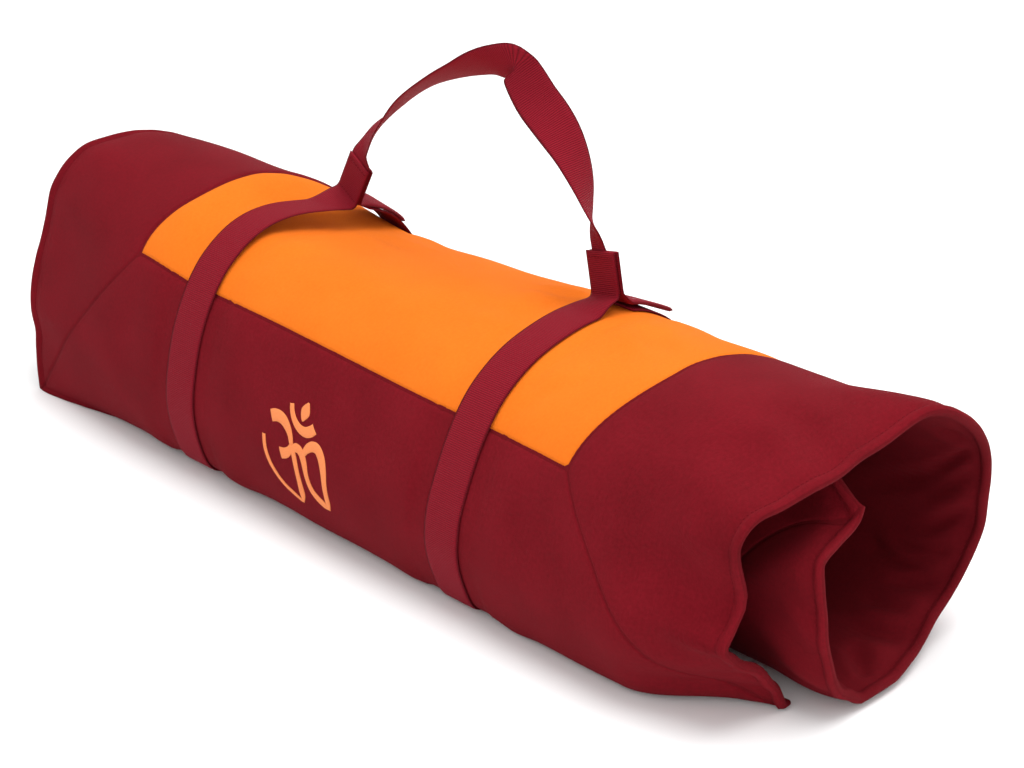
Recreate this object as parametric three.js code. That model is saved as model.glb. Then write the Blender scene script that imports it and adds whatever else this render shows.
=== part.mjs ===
// A padded meditation mat, rolled up and held by two webbing straps with a carry handle.
// Millimetres. X runs along the roll, the hem lies at the front (-Y), +Z is up.

import * as THREE from 'three';

// The mat laid flat
const MAT_WIDTH = 880;
const MAT_LENGTH = 1060;
const END_BORDER = 172;
const HEM_BORDER = 214;
const PAD = 17;
const CLOTH = 1.2;

// Webbing
const WEB_WIDTH = 39;
const WEB = 2;
const TAB_LENGTH = 60;
const TAB_BEND = 12;
const TAB_REST = 27;
const TAB_STEP = 4;
const OVERLAP_START = 7;

// Fits
const GAP = 0.3;
const SEAM_GAP = 0.6;
const CLOTH_CLEAR_OF_FLOOR = 0.3;
const WEB_CLEARANCE = 0.5;
const RIM_CORE = 0.9;

// How finely the forms are followed
const SECTION_STEPS = 480;
const TANGENT_REACH = 6;
const ROW_STEP = { coarse: 25, fine: 18, fineFrom: 700 };
const COLUMNS_BETWEEN_STRAPS = 5;
const PANEL_MARGIN = 2;
const STRAP_STEP = 4;
const UNDER_THE_TOP = 100;

// Straps: where they lie along the roll. The handle pulls on their turned-up ends, the
// seats, which stand so high and lean along the roll, turn, lift and tilt. The closure
// tab's tail, which lies on the strap behind them, tilts by its own share.
const STRAPS = [
  { side: 'left', x: -184, height: 36.5, lean: 0.38, turn: -0.46, lift: 7.3, tilt: -0.17, tail: -0.17 },
  { side: 'right', x: 154, height: 41.5, lean: -0.15, turn: -0.06, lift: 6.9, tilt: 0.3, tail: 0.1 },
];
const SEAT = { depth: 8, drop: 12, clear: 16, gap: 0.45, foot: 6, step: 1 };
const STRAP_DIP = 1.4;
const DIP_FLAT = 22;
const DIP_END = 36;
const KEEPER_Y = 48;

// The roll was wound a little askew: how far each length of it is pushed along X
const SKEW = [
  { s: 0, push: 8 },
  { s: 200, push: -5 },
  { s: 340, push: 20 },
  { s: 500, push: 45 },
  { s: 600, push: 45 },
  { s: 690, push: 38 },
  { s: 790, push: 52 },
  { s: 880, push: 48 },
  { s: 1060, push: 25 },
];

// Where the outer turn ends and the straps no longer press on the mat
const OUTER_TURN = { end: 830, fade: 40 };

// The part's origin is under the middle of its box
const CENTRE = { x: 23.85, y: -3.84 };

// Stations along the roll and the section column that holds there
const STATIONS = [
  { x: -440, column: 'far' },
  { x: -275, column: 'shoulder' },
  { x: -190, column: 'left' },
  { x: 150, column: 'middle' },
  { x: 330, column: 'right' },
  { x: 440, column: 'near' },
];

// Section of the outer face as [y, z], seen from the right with +Y to the right:
// up the front, over the top, down the back, under, and up again inside
const SECTION = {
  far: [
    [-142, -5], [-141, 29], [-138, 60], [-137, 93], [-133, 114], [-124, 135], [-113, 156],
    [-104, 179], [-95, 206], [-75, 229], [-57, 241], [-16, 245], [29, 234], [72, 211], [109, 178],
    [132, 134], [131, 90], [113, 49], [81, 17], [40, -1], [-4, -5], [-41, 9], [-64, 37], [-68, 71],
    [-64, 104], [-48, 135], [-30, 152], [-4, 168], [24, 176], [54, 174], [85, 158],
  ],
  shoulder: [
    [-119, -10], [-139, 16], [-150, 46], [-152, 78], [-149, 98], [-145, 119], [-139, 142],
    [-130, 168], [-119, 192], [-102, 214], [-67, 234], [-23, 243], [23, 236], [66, 216],
    [106, 185], [133, 144], [140, 100], [128, 57], [100, 22], [60, 1], [16, -6], [-23, 2],
    [-54, 22], [-65, 53], [-65, 87], [-56, 121], [-40, 140], [-17, 159], [10, 172], [40, 175],
    [73, 164],
  ],
  left: [
    [-112, -9], [-138, 11], [-150, 41], [-155, 72], [-154, 93], [-150, 114], [-144, 137],
    [-134, 162], [-120, 185], [-100, 205], [-64, 221], [-20, 215], [26, 204], [72, 190],
    [117, 169], [144, 128], [145, 83], [127, 42], [95, 11], [53, -4], [8, -5], [-30, 7], [-57, 31],
    [-66, 64], [-63, 97], [-48, 129], [-31, 147], [-6, 164], [22, 172], [52, 171], [84, 158],
  ],
  middle: [
    [-103, -6], [-134, 3], [-149, 32], [-157, 62], [-157, 83], [-153, 104], [-144, 126],
    [-132, 150], [-117, 173], [-98, 193], [-63, 213], [-19, 222], [28, 221], [75, 210], [116, 184],
    [143, 142], [148, 98], [135, 55], [109, 19], [68, 0], [24, -6], [-15, 1], [-47, 20], [-63, 50],
    [-66, 83], [-56, 117], [-42, 137], [-19, 157], [8, 169], [38, 173], [71, 164],
  ],
  right: [
    [-103, -6], [-135, 2], [-150, 30], [-160, 60], [-160, 81], [-155, 101], [-147, 124],
    [-138, 150], [-126, 174], [-110, 196], [-76, 218], [-33, 230], [14, 233], [61, 224],
    [105, 202], [139, 165], [152, 122], [149, 78], [128, 38], [93, 10], [51, -4], [11, -7],
    [-25, 2], [-52, 22], [-66, 53], [-67, 88], [-61, 112], [-44, 137], [-22, 156], [4, 171],
    [38, 180],
  ],
  near: [
    [-70, -9], [-86, 20], [-103, 44], [-129, 61], [-143, 83], [-129, 105], [-119, 116],
    [-124, 138], [-131, 167], [-112, 195], [-71, 205], [-26, 213], [17, 220], [66, 235],
    [114, 209], [145, 167], [149, 118], [141, 73], [115, 32], [72, 11], [27, 1], [-15, -3],
    [-51, 17], [-71, 48], [-75, 86], [-75, 117], [-69, 147], [-36, 156], [-15, 163], [-16, 180],
    [-34, 207],
  ],
};

// Half of the mat's thickness against the distance from its nearest edge:
// a rounded rim, the stitched line behind it, and the padding's rise
const EDGE = [
  { from: 0, half: 1.4 },
  { from: 2, half: 3.6 },
  { from: 5, half: 4.8 },
  { from: 9, half: 3.7 },
  { from: 22, half: 6.4 },
  { from: 45, half: 8.0 },
  { from: 80, half: 8.5 },
];
const EDGE_STEPS = [0, 2, 5, 9, 22, 45, 80, 125, END_BORDER];
const HEM_STEPS = EDGE_STEPS.map((d) => (d * HEM_BORDER) / END_BORDER);
const SKIN_EDGE = 1;

// Handle: its middle line above the roll and how far it is rolled about that line
const HANDLE = [
  { x: -157, z: 259, roll: -106 },
  { x: -152, z: 269, roll: -118 },
  { x: -146, z: 280, roll: -134 },
  { x: -137, z: 293, roll: -150 },
  { x: -127, z: 306, roll: -162 },
  { x: -115, z: 320, roll: -172 },
  { x: -101, z: 333, roll: -180 },
  { x: -86, z: 345, roll: -186 },
  { x: -70, z: 357, roll: -191 },
  { x: -53, z: 368, roll: -197 },
  { x: -35, z: 379, roll: -207 },
  { x: -17, z: 389, roll: -219 },
  { x: 1, z: 397, roll: -231 },
  { x: 17, z: 401, roll: -243 },
  { x: 31, z: 401, roll: -258 },
  { x: 43, z: 396, roll: -276 },
  { x: 54, z: 388, roll: -294 },
  { x: 66, z: 380, roll: -306 },
  { x: 80, z: 369, roll: -315 },
  { x: 94, z: 356, roll: -321 },
  { x: 106, z: 342, roll: -329 },
  { x: 116, z: 327, roll: -342 },
  { x: 124, z: 312, roll: -362 },
  { x: 129, z: 300, roll: -392 },
  { x: 133, z: 288, roll: -420 },
  { x: 137, z: 277, roll: -440 },
];

const COLOUR = { wine: 0x831d26, orange: 0xfe862a, webbing: 0x871b28 };
const ROUGHNESS = { cloth: 0.9, webbing: 0.8 };
const HALF = MAT_WIDTH / 2;
const EPS = 1e-6;

function smooth(t) {
  const k = Math.min(1, Math.max(0, t));
  return k * k * (3 - 2 * k);
}

function lerp(a, b, t) {
  return a + (b - a) * t;
}

function halfThickness(edge) {
  for (let i = 1; i < EDGE.length; i += 1) {
    if (edge < EDGE[i].from) {
      const t = (edge - EDGE[i - 1].from) / (EDGE[i].from - EDGE[i - 1].from);
      return lerp(EDGE[i - 1].half, EDGE[i].half, t);
    }
  }
  return EDGE[EDGE.length - 1].half;
}

// How far a point at developed length s is pushed along the roll
function skew(s) {
  let k = 1;
  while (k < SKEW.length - 1 && SKEW[k].s < s) k += 1;
  const t = smooth((s - SKEW[k - 1].s) / (SKEW[k].s - SKEW[k - 1].s));
  return lerp(SKEW[k - 1].push, SKEW[k].push, t);
}

function strapPull(worldX) {
  let pull = 0;
  for (const strap of STRAPS) {
    const away = Math.abs(worldX - strap.x);
    pull = Math.max(pull, 1 - smooth((away - DIP_FLAT) / (DIP_END - DIP_FLAT)));
  }
  return pull;
}

// The outer face's section at a place along the roll, as a table of points by length
const sections = new Map();
function sectionAt(x) {
  const key = x.toFixed(3);
  if (!sections.has(key)) {
    let k = 1;
    while (k < STATIONS.length - 1 && STATIONS[k].x < x) k += 1;
    const [from, to] = [STATIONS[k - 1], STATIONS[k]];
    const t = smooth((x - from.x) / (to.x - from.x));
    const points = SECTION[from.column].map(([y, z], row) => {
      const [nextY, nextZ] = SECTION[to.column][row];
      return new THREE.Vector3(0, lerp(y, nextY, t), lerp(z, nextZ, t));
    });
    const curve = new THREE.CatmullRomCurve3(points, false, 'centripetal');
    const line = curve.getPoints(SECTION_STEPS);
    const length = [0];
    for (let i = 1; i < line.length; i += 1) {
      length.push(length[i - 1] + line[i].distanceTo(line[i - 1]));
    }
    sections.set(key, { line, length });
  }
  return sections.get(key);
}

function along(section, s) {
  const { line, length } = section;
  let i = 1;
  while (i < length.length - 1 && length[i] < s) i += 1;
  const t = (s - length[i - 1]) / (length[i] - length[i - 1]);
  return new THREE.Vector3().lerpVectors(line[i - 1], line[i], t);
}

// A point of the rolled mat: x and s are its place on the flat mat, and offset is its
// height over the middle of the padding, outward positive
function matPoint(x, s, offset) {
  const section = sectionAt(x);
  const ahead = along(section, s + TANGENT_REACH);
  const behind = along(section, s - TANGENT_REACH);
  const ty = ahead.y - behind.y;
  const tz = ahead.z - behind.z;
  const size = Math.hypot(ty, tz);
  const normal = { y: -tz / size, z: ty / size };
  const worldX = x + skew(s);
  const outside = 1 - smooth((s - OUTER_TURN.end) / OUTER_TURN.fade);
  const pull = strapPull(worldX) * outside;
  const out = offset - PAD / 2 - STRAP_DIP * pull;
  const at = along(section, s);
  const floor = CLOTH_CLEAR_OF_FLOOR + (WEB + 2 * GAP - CLOTH_CLEAR_OF_FLOOR) * pull;
  const dip = STRAP_DIP * pull * Math.max(0, -normal.z);
  return new THREE.Vector3(
    worldX - CENTRE.x,
    at.y + normal.y * out - CENTRE.y,
    Math.max(at.z, floor - dip) + normal.z * out,
  );
}

// The grid on the flat mat. Columns near a strap keep their place in the room.
function columnList() {
  const columns = EDGE_STEPS.map((d) => ({ x: -HALF + d, follow: 0 }));
  const [left, right] = STRAPS;
  const ring = [-DIP_END, -DIP_FLAT, 0, DIP_FLAT, DIP_END];
  for (const d of ring) columns.push({ x: left.x + d, follow: 1 });
  for (let i = 1; i < COLUMNS_BETWEEN_STRAPS; i += 1) {
    const x = lerp(left.x + DIP_END, right.x - DIP_END, i / COLUMNS_BETWEEN_STRAPS);
    columns.push({ x, follow: 1 });
  }
  for (const d of ring) columns.push({ x: right.x + d, follow: 1 });
  for (const d of [...EDGE_STEPS].reverse()) columns.push({ x: HALF - d, follow: 0 });
  return columns;
}

function rowList() {
  const rows = [...HEM_STEPS];
  const { coarse, fine, fineFrom } = ROW_STEP;
  let s = HEM_BORDER + coarse;
  while (s < fineFrom) {
    rows.push(s);
    s += coarse;
  }
  const count = Math.round((MAT_LENGTH - HEM_BORDER - s) / fine);
  const step = (MAT_LENGTH - HEM_BORDER - s) / count;
  for (let i = 0; i < count; i += 1) rows.push(s + i * step);
  for (const d of [...HEM_STEPS].reverse()) rows.push(MAT_LENGTH - d);
  return rows;
}

const COLUMNS = columnList();
const ROWS = rowList();

function flatPlace(i, j) {
  const column = COLUMNS[i];
  const s = ROWS[j];
  const panel = END_BORDER - HALF + PANEL_MARGIN;
  return { x: column.follow ? Math.max(column.x - skew(s), panel) : column.x, s };
}

function edgeDistance(x, s) {
  return Math.min(HALF - Math.abs(x), s, MAT_LENGTH - s);
}

// How deep into the border a spot lies, from 0 at the rim to 1 at the centre panel's seam
function borderDepth(x, s) {
  return { end: (HALF - Math.abs(x)) / END_BORDER, hem: Math.min(s, MAT_LENGTH - s) / HEM_BORDER };
}

// Which piece of the top cloth covers a spot of the flat mat
function pieceAt(x, s) {
  const { end, hem } = borderDepth(x, s);
  if (Math.min(end, hem) > 1) return 'centre_panel';
  if (end <= hem) return x < 0 ? 'border_left' : 'border_right';
  return s < MAT_LENGTH / 2 ? 'border_front' : 'border_inner';
}

// Pulls a point on a seam back into its own piece by half the seam's gap
function ownSide(piece, x, s) {
  const sign = Math.sign(x);
  const half = SEAM_GAP / 2;
  const seamX = HALF - END_BORDER;
  if (piece === 'centre_panel') {
    const ownX = Math.min(Math.abs(x), seamX - half) * sign;
    const ownS = Math.min(Math.max(s, HEM_BORDER + half), MAT_LENGTH - HEM_BORDER - half);
    return [ownX, ownS];
  }
  if (piece === 'border_left' || piece === 'border_right') {
    const ownX = Math.max(Math.abs(x), seamX + half);
    const mitre = (borderDepth(ownX, s).end * HEM_BORDER) + half;
    return [ownX * sign, Math.min(Math.max(s, mitre), MAT_LENGTH - mitre)];
  }
  const ownHem = Math.min(s, MAT_LENGTH - s, HEM_BORDER - half);
  const mitre = HALF - (ownHem / HEM_BORDER) * END_BORDER - half;
  return [Math.min(Math.abs(x), mitre) * sign, s < MAT_LENGTH / 2 ? ownHem : MAT_LENGTH - ownHem];
}

// Cells of the grid as two triangles each, cut along the mitres in the corners
function gridTriangles() {
  const triangles = [];
  for (let i = 0; i < COLUMNS.length - 1; i += 1) {
    for (let j = 0; j < ROWS.length - 1; j += 1) {
      const left = i < COLUMNS.length / 2;
      const low = j < ROWS.length / 2;
      const a = [i, j];
      const b = [i + 1, j];
      const c = [i + 1, j + 1];
      const d = [i, j + 1];
      if (left === low) triangles.push([a, b, c], [a, c, d]);
      else triangles.push([a, b, d], [b, c, d]);
    }
  }
  return triangles;
}

const TRIANGLES = gridTriangles();

function geometryFrom(points, faces) {
  const geometry = new THREE.BufferGeometry();
  geometry.setAttribute('position', new THREE.Float32BufferAttribute(points.flat(), 3));
  geometry.setIndex(faces.flat());
  geometry.computeVertexNormals();
  return geometry;
}

// A closed shell from some of the grid's triangles, with an outer and an inner layer
function shell(triangles, outerPoint, innerPoint) {
  const points = [];
  const index = new Map();
  const add = (layer, [i, j]) => {
    const key = `${layer},${i},${j}`;
    if (!index.has(key)) {
      const point = layer === 0 ? outerPoint(i, j) : innerPoint(i, j);
      index.set(key, points.length);
      points.push(point.toArray());
    }
    return index.get(key);
  };
  const faces = [];
  const rim = new Map();
  for (const [a, b, c] of triangles) {
    faces.push([add(0, a), add(0, b), add(0, c)]);
    faces.push([add(1, a), add(1, c), add(1, b)]);
    for (const [p, q] of [[a, b], [b, c], [c, a]]) {
      const back = `${q}|${p}`;
      if (rim.has(back)) rim.delete(back);
      else rim.set(`${p}|${q}`, [p, q]);
    }
  }
  for (const [p, q] of rim.values()) {
    faces.push([add(0, q), add(0, p), add(1, p)]);
    faces.push([add(0, q), add(1, p), add(1, q)]);
  }
  return geometryFrom(points, faces);
}

function matBack() {
  const outer = (i, j) => {
    const { x, s } = flatPlace(i, j);
    const half = halfThickness(edgeDistance(x, s));
    return matPoint(x, s, Math.max(half - CLOTH - GAP, RIM_CORE));
  };
  const inner = (i, j) => {
    const { x, s } = flatPlace(i, j);
    return matPoint(x, s, -halfThickness(edgeDistance(x, s)));
  };
  return shell(TRIANGLES, outer, inner);
}

function topCloth(piece) {
  const last = { i: COLUMNS.length - 1 - SKIN_EDGE, j: ROWS.length - 1 - SKIN_EDGE };
  const inside = ([i, j]) => i >= SKIN_EDGE && i <= last.i && j >= SKIN_EDGE && j <= last.j;
  const own = TRIANGLES.filter((corners) => {
    const spots = corners.map(([i, j]) => flatPlace(i, j));
    const x = (spots[0].x + spots[1].x + spots[2].x) / 3;
    const s = (spots[0].s + spots[1].s + spots[2].s) / 3;
    return corners.every(inside) && pieceAt(x, s) === piece;
  });
  const layer = (lift) => (i, j) => {
    const { x, s } = flatPlace(i, j);
    const [ownX, ownS] = ownSide(piece, x, s);
    return matPoint(ownX, ownS, halfThickness(edgeDistance(x, s)) + lift);
  };
  return shell(own, layer(0), layer(-CLOTH));
}

// The convex outline of the roll where a strap lies, in the Y-Z plane
function rollOutline(strapX) {
  const points = [];
  COLUMNS.forEach((column, i) => {
    if (!column.follow || Math.abs(column.x - strapX) > DIP_FLAT + EPS) return;
    for (let j = 0; j < ROWS.length; j += 1) {
      const { x, s } = flatPlace(i, j);
      const p = matPoint(x, s, halfThickness(edgeDistance(x, s)));
      points.push(new THREE.Vector2(p.y, p.z));
    }
  });
  points.sort((a, b) => a.x - b.x || a.y - b.y);
  const turn = (o, a, b) => (a.x - o.x) * (b.y - o.y) - (a.y - o.y) * (b.x - o.x);
  const halfHull = (list) => {
    const hull = [];
    for (const p of list) {
      while (hull.length > 1 && turn(hull[hull.length - 2], hull[hull.length - 1], p) <= 0) {
        hull.pop();
      }
      hull.push(p);
    }
    hull.pop();
    return hull;
  };
  return [...halfHull(points), ...halfHull([...points].reverse())];
}

// Drops outline points that stand closer together than a given step
function thin(outline, step) {
  const kept = [];
  for (const p of outline) {
    if (!kept.length || p.distanceTo(kept[kept.length - 1]) > step) kept.push(p);
  }
  return kept;
}

// Moves a closed outline outward by a distance, corner by corner
function grow(outline, distance) {
  return outline.map((p, k) => {
    const before = outline[(k + outline.length - 1) % outline.length];
    const after = outline[(k + 1) % outline.length];
    const e1 = new THREE.Vector2().subVectors(p, before).normalize();
    const e2 = new THREE.Vector2().subVectors(after, p).normalize();
    const n1 = new THREE.Vector2(e1.y, -e1.x);
    const n2 = new THREE.Vector2(e2.y, -e2.x);
    const n = n1.clone().add(n2).normalize();
    return p.clone().addScaledVector(n, distance / n.dot(n1));
  });
}

// Where an outline's upper side crosses a given Y, as its height there
function topHeight(outline, y) {
  let best = -Infinity;
  outline.forEach((p, k) => {
    const q = outline[(k + 1) % outline.length];
    if ((p.x - y) * (q.x - y) > 0 || p.x === q.x) return;
    const t = (y - p.x) / (q.x - p.x);
    best = Math.max(best, lerp(p.y, q.y, t));
  });
  return best;
}

// Part of a convex outline between two places on its top, the long way round by the front
function roundTheRoll(outline, startY, endY) {
  const start = new THREE.Vector2(startY, topHeight(outline, startY));
  const end = new THREE.Vector2(endY, topHeight(outline, endY));
  const middle = start.clone().add(end).multiplyScalar(0.5);
  middle.y -= UNDER_THE_TOP;
  const angle = (p) => Math.atan2(p.y - middle.y, p.x - middle.x);
  const from = angle(start);
  const sweep = (p) => (angle(p) - from + 4 * Math.PI) % (2 * Math.PI);
  const list = outline.filter((p) => sweep(p) > EPS && sweep(p) < sweep(end) - EPS);
  list.sort((a, b) => sweep(a) - sweep(b));
  return [start, ...list, end];
}

// How the handle's pull moves a point of the webbing that belongs to a seat
function pulled(strap, fold, point) {
  const away = Math.abs(point.y - (KEEPER_Y - CENTRE.y));
  if (away > SEAT.depth || point.z < fold - SEAT.drop) return point.clone();
  const side = point.x - (strap.x - CENTRE.x);
  return new THREE.Vector3(
    point.x + strap.lean * Math.max(0, point.z - fold),
    point.y + strap.turn * side,
    point.z + strap.lift + strap.tilt * side,
  );
}

// How the closure tab's tail tilts about its lower edge; nearer the seat it is pulled
function tailed(strap, fold, point) {
  if (point.y - (KEEPER_Y - CENTRE.y) <= SEAT.depth) return pulled(strap, fold, point);
  const side = point.x - (strap.x - CENTRE.x);
  const rise = strap.tail * side + (Math.abs(strap.tail) * WEB_WIDTH) / 2;
  return new THREE.Vector3(point.x, point.y, point.z + rise);
}

// A flat strip of webbing: a closed outline in Y-Z, as wide as the webbing in X, whose
// points are then moved
function strip(outline, strap, move) {
  const shape = new THREE.Shape(outline.map((p) => new THREE.Vector2(p.x, p.y)));
  const options = { depth: WEB_WIDTH, bevelEnabled: false, steps: 1 };
  const extruded = new THREE.ExtrudeGeometry(shape, options);
  const place = extruded.getAttribute('position');
  const points = [];
  for (let k = 0; k < place.count; k += 1) {
    const x = strap.x - CENTRE.x + WEB_WIDTH / 2 - place.getZ(k);
    const flat = new THREE.Vector3(x, place.getX(k), place.getY(k));
    points.push(move(flat).toArray());
  }
  const faces = [];
  for (let k = 0; k < points.length; k += 3) faces.push([k, k + 2, k + 1]);
  return geometryFrom(points, faces);
}

// Everything that one strap's webbing is drawn from
function strapLines(strap) {
  const roll = thin(rollOutline(strap.x), STRAP_STEP);
  const lifted = grow(roll, WEB_CLEARANCE);
  const inner = lifted.map((p) => new THREE.Vector2(p.x, Math.max(p.y, WEB)));
  const outer = grow(roll, WEB_CLEARANCE + WEB);
  outer.forEach((p) => {
    if (p.y < WEB) p.y = 0;
  });
  const keeper = KEEPER_Y - CENTRE.y;
  return { inner, outer, keeper, fold: topHeight(outer, keeper) };
}

function rollStrap(strap) {
  const { inner, outer, keeper, fold } = strapLines(strap);
  const end = keeper + OVERLAP_START + 2 * WEB;
  const clear = (p) => p.x < keeper - SEAT.clear || p.x > end - EPS || p.y < fold - SEAT.drop;
  const [corner, ...inside] = roundTheRoll(inner, keeper, end);
  const [bend, ...outside] = roundTheRoll(outer, keeper - WEB, end);
  const top = fold + strap.height;
  const outline = [
    new THREE.Vector2(keeper, top),
    corner,
    ...inside.filter(clear),
    ...outside.filter(clear).reverse(),
    bend,
    new THREE.Vector2(keeper - WEB, top),
  ];
  return strip(outline, strap, (point) => pulled(strap, fold, point));
}

function closureTab(strap) {
  const { outer, keeper, fold } = strapLines(strap);
  const front = keeper + WEB + 2 * SEAT.gap;
  const back = front + WEB;
  const rest = grow(outer, GAP);
  const tip = front + TAB_LENGTH;
  const under = [front];
  for (let y = front + TAB_BEND; y < front + TAB_REST; y += TAB_STEP) under.push(y);
  const line = under.map((y) => new THREE.Vector2(y, topHeight(rest, y)));
  const [last, end] = line.slice(-2);
  const slope = (end.y - last.y) / (end.x - last.x);
  line.push(new THREE.Vector2(tip, end.y + slope * (tip - end.x)));
  const over = line.slice(1).map((p) => new THREE.Vector2(p.x, p.y + 2 * WEB));
  const crease = new THREE.Vector2(back, line[0].y + 2 * WEB);
  const top = fold + strap.height - SEAT.step;
  const outline = [
    new THREE.Vector2(front, top),
    ...line,
    ...over.reverse(),
    crease,
    new THREE.Vector2(back, top),
  ];
  return strip(outline, strap, (point) => tailed(strap, fold, point));
}

// Frames down the handle: a middle point, the webbing's width and its thickness direction
function handleFrames() {
  const seatY = KEEPER_Y + SEAT.gap + WEB / 2 - CENTRE.y;
  const seat = (strap, height) => {
    const { fold } = strapLines(strap);
    const x = strap.x - CENTRE.x;
    const place = (side) => pulled(strap, fold, new THREE.Vector3(x + side, seatY, fold + height));
    const toRight = place(1).sub(place(-1)).normalize();
    const width = strap.side === 'left' ? toRight : toRight.negate();
    const face = new THREE.Vector3(-width.y, width.x, 0).normalize();
    if (strap.side === 'right') face.negate();
    return { middle: place(0), width, face };
  };
  const free = HANDLE.map((row, k) => {
    const before = HANDLE[Math.max(0, k - 1)];
    const after = HANDLE[Math.min(HANDLE.length - 1, k + 1)];
    const along = new THREE.Vector3(after.x - before.x, 0, after.z - before.z).normalize();
    const up = new THREE.Vector3(-along.z, 0, along.x);
    const angle = THREE.MathUtils.degToRad(row.roll);
    const width = new THREE.Vector3(0, Math.cos(angle), 0).addScaledVector(up, Math.sin(angle));
    const face = new THREE.Vector3().crossVectors(along, width);
    return { middle: new THREE.Vector3(row.x - CENTRE.x, seatY, row.z), width, face };
  });
  const [left, right] = STRAPS;
  const heights = (strap) => [SEAT.foot, strap.height / 2, strap.height + SEAT.step];
  return [
    ...heights(left).map((height) => seat(left, height)),
    ...free,
    ...heights(right).reverse().map((height) => seat(right, height)),
  ];
}

function carryHandle() {
  const frames = handleFrames();
  const points = [];
  const across = [-1, 0, 1];
  for (const { middle, width, face } of frames) {
    for (const side of [1, -1]) {
      for (const k of across) {
        const p = middle.clone().addScaledVector(width, (k * side * WEB_WIDTH) / 2);
        p.addScaledVector(face, (side * WEB) / 2);
        points.push(p.toArray());
      }
    }
  }
  const ring = across.length * 2;
  const faces = [];
  for (let r = 0; r < frames.length - 1; r += 1) {
    for (let k = 0; k < ring; k += 1) {
      const a = r * ring + k;
      const b = r * ring + ((k + 1) % ring);
      faces.push([a, b + ring, b], [a, a + ring, b + ring]);
    }
  }
  const cap = (base, flip) => {
    const quads = [[0, 1, 4, 5], [1, 2, 3, 4]];
    for (const [a, b, c, d] of quads) {
      const list = [[a, b, c], [a, c, d]];
      for (const f of list) faces.push((flip ? [f[0], f[2], f[1]] : f).map((n) => n + base));
    }
  };
  cap(0, false);
  cap((frames.length - 1) * ring, true);
  return geometryFrom(points, faces);
}

function mesh(name, geometry, colour, roughness) {
  const material = new THREE.MeshStandardMaterial({ color: colour, roughness, metalness: 0 });
  const made = new THREE.Mesh(geometry, material);
  made.name = name;
  return made;
}

function build() {
  const mat = new THREE.Group();
  mat.add(mesh('mat_back', matBack(), COLOUR.wine, ROUGHNESS.cloth));
  for (const piece of ['centre_panel', 'border_front', 'border_inner', 'border_left', 'border_right']) {
    const colour = piece === 'centre_panel' ? COLOUR.orange : COLOUR.wine;
    mat.add(mesh(piece, topCloth(piece), colour, ROUGHNESS.cloth));
  }
  const carry = new THREE.Group();
  for (const strap of STRAPS) {
    carry.add(mesh(`roll_strap_${strap.side}`, rollStrap(strap), COLOUR.webbing, ROUGHNESS.webbing));
    carry.add(mesh(`closure_tab_${strap.side}`, closureTab(strap), COLOUR.webbing, ROUGHNESS.webbing));
  }
  carry.add(mesh('carry_handle', carryHandle(), COLOUR.webbing, ROUGHNESS.webbing));
  const model = new THREE.Group();
  model.add(mat, carry);
  return model;
}

export default build();
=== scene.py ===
# Rolled meditation mat with webbing straps and a carry handle, dressed for the render.
# All tables are in millimetres; meshes are written in metres.
import math

import bpy
import numpy as np
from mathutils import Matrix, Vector


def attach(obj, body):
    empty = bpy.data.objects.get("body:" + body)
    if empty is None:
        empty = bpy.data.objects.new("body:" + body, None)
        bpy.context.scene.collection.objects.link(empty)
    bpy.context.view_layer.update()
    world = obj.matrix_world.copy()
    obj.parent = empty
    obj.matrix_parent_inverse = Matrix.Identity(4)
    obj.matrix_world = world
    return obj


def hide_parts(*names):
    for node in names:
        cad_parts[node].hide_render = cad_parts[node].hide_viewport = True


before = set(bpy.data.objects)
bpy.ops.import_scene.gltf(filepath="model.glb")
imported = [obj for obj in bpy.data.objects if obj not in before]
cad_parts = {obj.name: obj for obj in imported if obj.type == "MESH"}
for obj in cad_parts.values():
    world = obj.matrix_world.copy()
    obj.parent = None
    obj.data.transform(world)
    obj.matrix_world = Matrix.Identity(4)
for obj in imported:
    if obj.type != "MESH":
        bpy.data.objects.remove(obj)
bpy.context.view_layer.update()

MM = 0.001

# The mat laid flat: x runs along the roll, s from the hem in front to the hem inside
MAT_WIDTH = 880.0
MAT_LENGTH = 1060.0
END_BORDER = 172.0
HEM_BORDER = 214.0
HALF = MAT_WIDTH / 2
HALF_PAD = 8.5
CLOTH = 0.9
CENTRE_X = 23.85
CENTRE_Y = -3.84
FLOOR_GAP = 0.3

# Straps, as in the CAD: place along the roll and how their turned-up ends stand
STRAPS = {
    "left": dict(x=-184.0, slide=12.0, height=40.5, lean=0.48, turn=-0.34, lift=5.5, tilt=-0.22, tail=-0.17),
    "right": dict(x=154.0, slide=-3.0, height=41.0, lean=-0.19, turn=-0.18, lift=6.4, tilt=0.3, tail=0.1),
}
WEB_WIDTH = 39.0
WEB = 2.0
SEAT_GAP = 0.45
KEEPER_Y = 48.0 - CENTRE_Y

SKEW_AT = [0, 200, 340, 500, 600, 690, 790, 880, 1060]
SKEW_PUSH = [8, -5, 20, 45, 45, 38, 52, 48, 25]

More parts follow.
